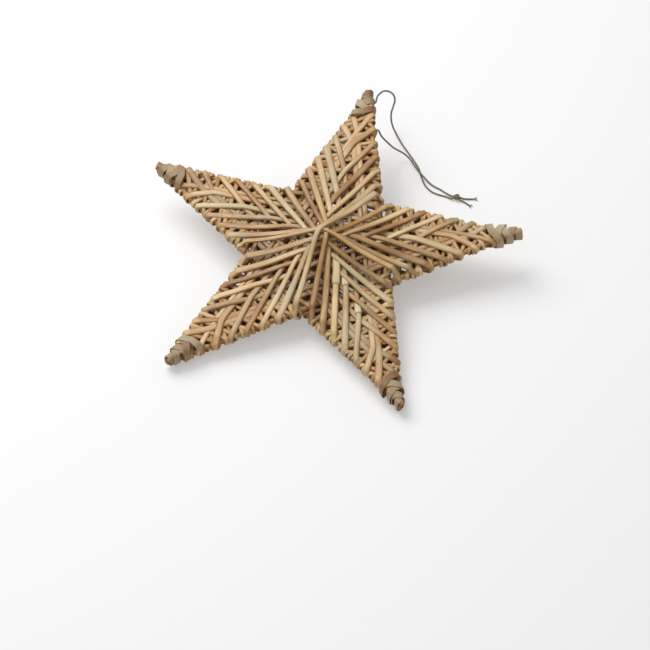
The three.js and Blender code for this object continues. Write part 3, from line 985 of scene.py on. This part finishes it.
class STAR_OT_twine(bpy.types.Operator):
    """Lays the twine loop down to the floor, with its knot and frayed tails"""

    bl_idname = "star.twine"
    bl_label = "Twine loop"

    def execute(self, context):
        d = sizes().twine
        c = colours()
        material = twine_material("natural_twine", c.twine_dark, c.twine_light)
        made = {}
        for name, points in (("leg_1", LEG_ONE), ("leg_2", LEG_TWO),
                             ("tail_1", TAIL_ONE), ("tail_2", TAIL_TWO)):
            line, far = route(points, TWINE_STEP)
            piece = finished(f"twisted_{name}", twisted_twine(line, d), material)
            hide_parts(f"twine_{name}")
            made[name] = (piece, line, far)
        frays = [self.frayed_end(f"frayed_end_{i + 1}", end, material)
                 for i, end in enumerate(TAIL_ENDS)]
        for name, points in (("root_1", ROOT_ONE), ("root_2", ROOT_TWO)):
            line, _ = route(points, TWINE_STEP)
            finished(f"twisted_{name}", twisted_twine(line, d), material)
        knot = self.knot(twine_material("greened_twine", c.knot_dark, c.knot_light))
        for name, points in (("leg_1", LEG_ONE), ("leg_2", LEG_TWO)):
            piece, line, far = made[name]
            path, _ = route(points, PATH_STEP)
        return {"FINISHED"}

    def knot(self, material):
        """An overhand knot: two small trefoils of twine, one in the other, and four stubs."""
        s = sizes()
        parts = []
        for scale, lean in TREFOILS:
            size = scale * (s.knot - s.twine) / 2 / 3
            line = []
            for a in np.linspace(0, 2 * math.pi, TREFOIL_STEPS, endpoint=False):
                x = math.sin(a) + 2 * math.sin(2 * a)
                y = math.cos(a) - 2 * math.cos(2 * a)
                x, y = turned(x, y, lean)
                line.append(np.array([KNOT_PLACE[0] + x * size, KNOT_PLACE[1] + y * size,
                                      s.knot / 2 - math.sin(3 * a) * size * KNOT_DEPTH]))
            line.append(line[0])
            parts.append(twisted_twine(line, s.twine))
        for points in KNOT_STUBS:
            line, _ = route(points, TWINE_STEP)
            parts.append(twisted_twine(line, s.twine))
        knot = finished("overhand_knot", joined(parts), material)
        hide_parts("twine_knot")
        return knot

    def frayed_end(self, name, end, material):
        """The loose fibres at the cut end of a tail."""
        rng = np.random.default_rng(11)
        x, y, heading = end
        parts = []
        for _ in range(FRAY_COUNT):
            side = heading + rng.uniform(*FRAY_SPREAD)
            rise = rng.uniform(*FRAY_RISES)
            far = rng.uniform(*FRAY_REACHES)
            points = [(x - FRAY_ROOT * math.cos(heading), y - FRAY_ROOT * math.sin(heading), LYING)]
            for t in (0.35, 0.7, 1.0):
                angle = heading + (side - heading) * (0.5 + 0.5 * t)
                points.append((x + math.cos(angle) * far * t, y + math.sin(angle) * far * t,
                               LYING + rise * far * t))
            line, _ = route(points, TWINE_STEP)
            parts.append(twisted_twine(line, FRAY_WIDTH))
        return finished(name, joined(parts), material)


# Stage


CAMERA_PLACE = (-0.009454, -1.564624, 1.758065)
CAMERA_ELEVATION = math.radians(49.400)
CAMERA_LENS = 166.15
CAMERA_REACH = 20
FLOOR_REACH = 6  # from its middle to each side
FLOOR_ROUGHNESS = 0.7
# The floor glows though it is no lamp: painted light that pales the shadows on it and lights the star a
# little from below
FLOOR_GLOW = 0.295  # lifts the floor to the photo's near white
WORLD_STRENGTH = 0.43
LIGHTS = (  # name, place, side and watts
    ("key", (-0.68, 0.74, 1.35), 1.2, 24.5),
    ("fill", (-0.7, -1.0, 1.6), 1.6, 4),
)


class STAR_OT_stage(bpy.types.Operator):
    """Sets the floor, the light and the camera"""

    bl_idname = "star.stage"
    bl_label = "Stage"

    def execute(self, context):
        self.floor()
        self.camera()
        self.lights()
        return {"FINISHED"}

    def floor(self):
        bm = bmesh.new()
        bmesh.ops.create_grid(bm, x_segments=1, y_segments=1, size=FLOOR_REACH)
        mesh = bpy.data.meshes.new("floor")
        bm.to_mesh(mesh)
        bm.free()
        material, _, shader = new_material("pale_floor")
        shader.inputs["Base Color"].default_value = (*colours().floor, 1)
        shader.inputs["Roughness"].default_value = FLOOR_ROUGHNESS
        # Painted light: the floor glows, which pales the shadows cast on it
        shader.inputs["Emission Color"].default_value = (1, 1, 1, 1)
        shader.inputs["Emission Strength"].default_value = FLOOR_GLOW
        mesh.materials.append(material)
        floor = bpy.data.objects.new("floor", mesh)
        bpy.context.scene.collection.objects.link(floor)

    def camera(self):
        data = bpy.data.cameras.new("camera")
        data.lens = CAMERA_LENS
        data.clip_end = CAMERA_REACH
        camera = bpy.data.objects.new("camera", data)
        bpy.context.scene.collection.objects.link(camera)
        turn = Matrix.Rotation(math.pi / 2 - CAMERA_ELEVATION, 4, "X")
        camera.matrix_world = Matrix.Translation(CAMERA_PLACE) @ turn
        bpy.context.scene.camera = camera

    def lights(self):
        scene = bpy.context.scene
        scene.view_settings.view_transform = "Standard"
        world = scene.world or bpy.data.worlds.new("world")
        scene.world = world
        world.use_nodes = True
        back = world.node_tree.nodes["Background"]
        back.inputs["Color"].default_value = (1.0, 1.0, 1.0, 1)
        back.inputs["Strength"].default_value = WORLD_STRENGTH
        for name, place, size, power in LIGHTS:
            data = bpy.data.lights.new(name, "AREA")
            data.size = size
            data.energy = power
            light = bpy.data.objects.new(name, data)
            scene.collection.objects.link(light)
            light.location = place
            light.rotation_euler = (-Vector(place)).to_track_quat("-Z", "Y").to_euler()


class STAR_PT_star(bpy.types.Panel):
    """The star's sizes, colours and pieces"""

    bl_idname = "STAR_PT_star"
    bl_label = "Wound star"
    bl_space_type = "VIEW_3D"
    bl_region_type = "UI"
    bl_category = "Star"

    def draw(self, context):
        for group in (context.scene.star_sizes, context.scene.star_colours):
            for name in group.bl_rna.properties.keys():
                if name not in {"rna_type", "name"}:
                    self.layout.prop(group, name)
        for operator in OPERATORS:
            self.layout.operator(operator.bl_idname)


OPERATORS = (
    STAR_OT_stage, STAR_OT_twine, STAR_OT_rods, STAR_OT_willow, STAR_OT_wraps, STAR_OT_bindings,
)
CLASSES = (StarSizes, StarColours, *OPERATORS, STAR_PT_star)


def register():
    for c in CLASSES:
        bpy.utils.register_class(c)
    bpy.types.Scene.star_sizes = bpy.props.PointerProperty(type=StarSizes)
    bpy.types.Scene.star_colours = bpy.props.PointerProperty(type=StarColours)


def unregister():
    del bpy.types.Scene.star_colours
    del bpy.types.Scene.star_sizes
    for c in reversed(CLASSES):
        bpy.utils.unregister_class(c)


def main():
    register()
    bpy.ops.star.stage()
    bpy.ops.star.twine()
    bpy.ops.star.rods()
    bpy.ops.star.willow()
    bpy.ops.star.wraps()
    bpy.ops.star.bindings()


if __name__ == "__main__":
    main()
